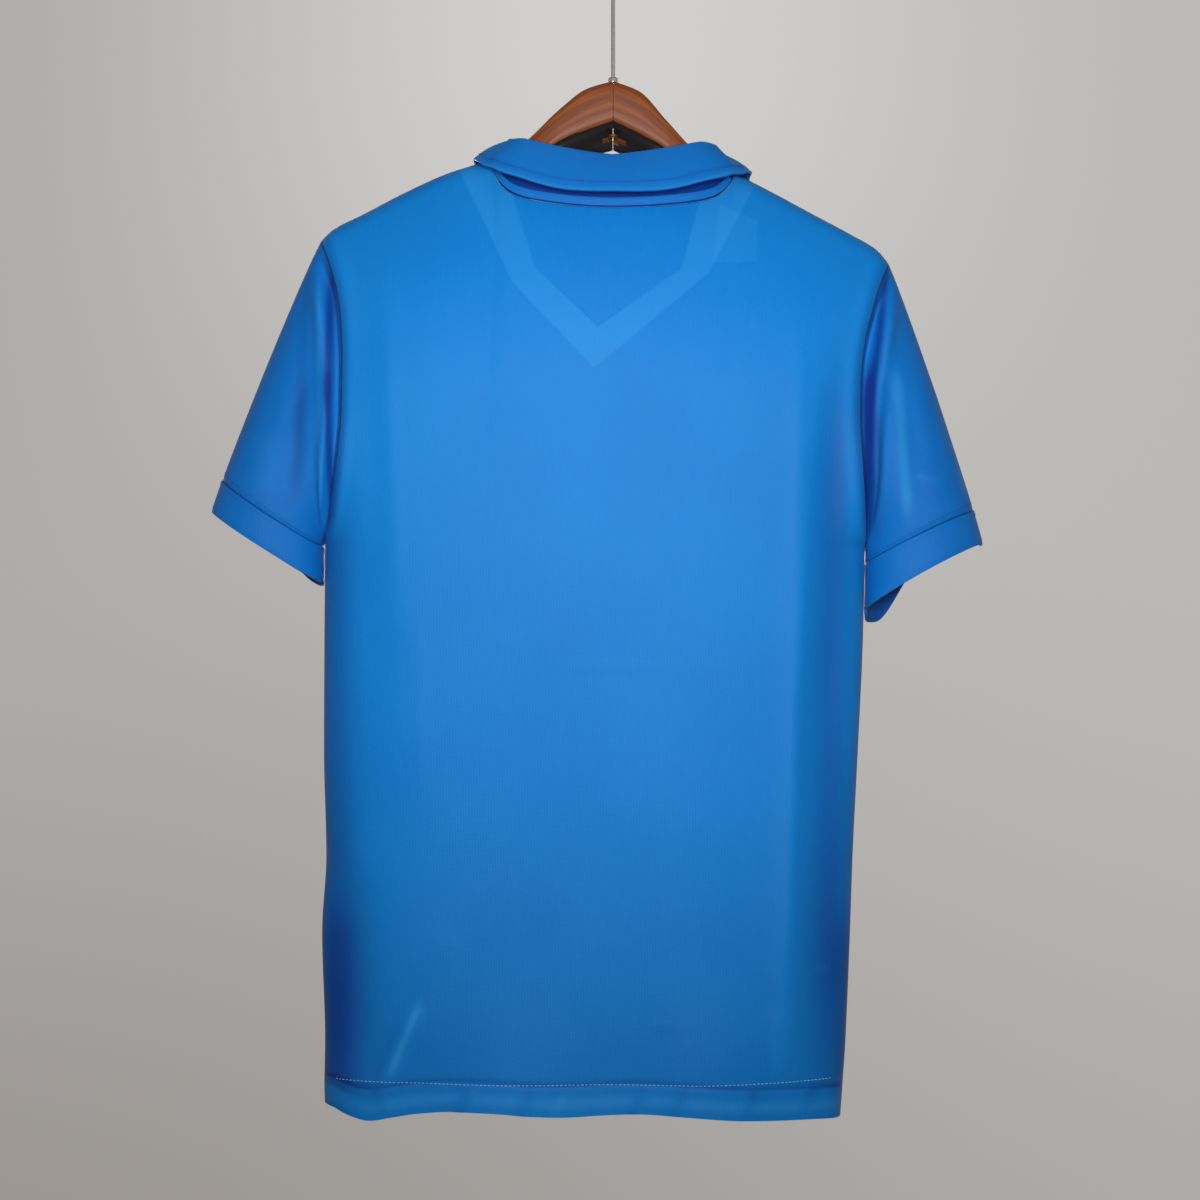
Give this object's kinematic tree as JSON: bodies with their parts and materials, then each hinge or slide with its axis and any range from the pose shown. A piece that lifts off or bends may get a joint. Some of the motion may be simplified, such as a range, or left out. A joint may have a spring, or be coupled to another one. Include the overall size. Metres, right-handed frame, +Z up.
{
  "type": "football jersey on a hanger",
  "caption": "Plain blue short-sleeved football jersey with a turn-down collar, hanging on a wooden hanger with a steel hook.",
  "frame": {"origin": "where a rail touches the inside of the hook, at the top of its bend", "axes": "+Z up, from the hem to the hook; the jersey's back faces -Y and its front +Y; +X is the wearer's right"},
  "size_m": [0.5872, 0.117, 0.9149],
  "materials": {
    "jersey_knit": "smooth satin-like polyester knit",
    "trim_knit": "denser knit of the same yarn, for collar, cuffs, binding and band",
    "hanger_wood": "stained and varnished, half gloss",
    "hook_steel": "bright plated wire",
    "nut_brass": "plain turned"
  },
  "bodies": {
    "root": {"back_panel": "jersey_knit", "front_panel": "jersey_knit", "sleeve_left": "jersey_knit", "sleeve_right": "jersey_knit", "cuff_left": "trim_knit", "cuff_right": "trim_knit", "collar": "trim_knit", "neck_binding": "trim_knit", "neck_v_band": "trim_knit", "hanger_arm_left": "hanger_wood", "hanger_arm_right": "hanger_wood", "hanger_hook": "hook_steel", "hanger_ferrule": "hook_steel", "hanger_nut": "nut_brass"}
  },
  "joints": []
}
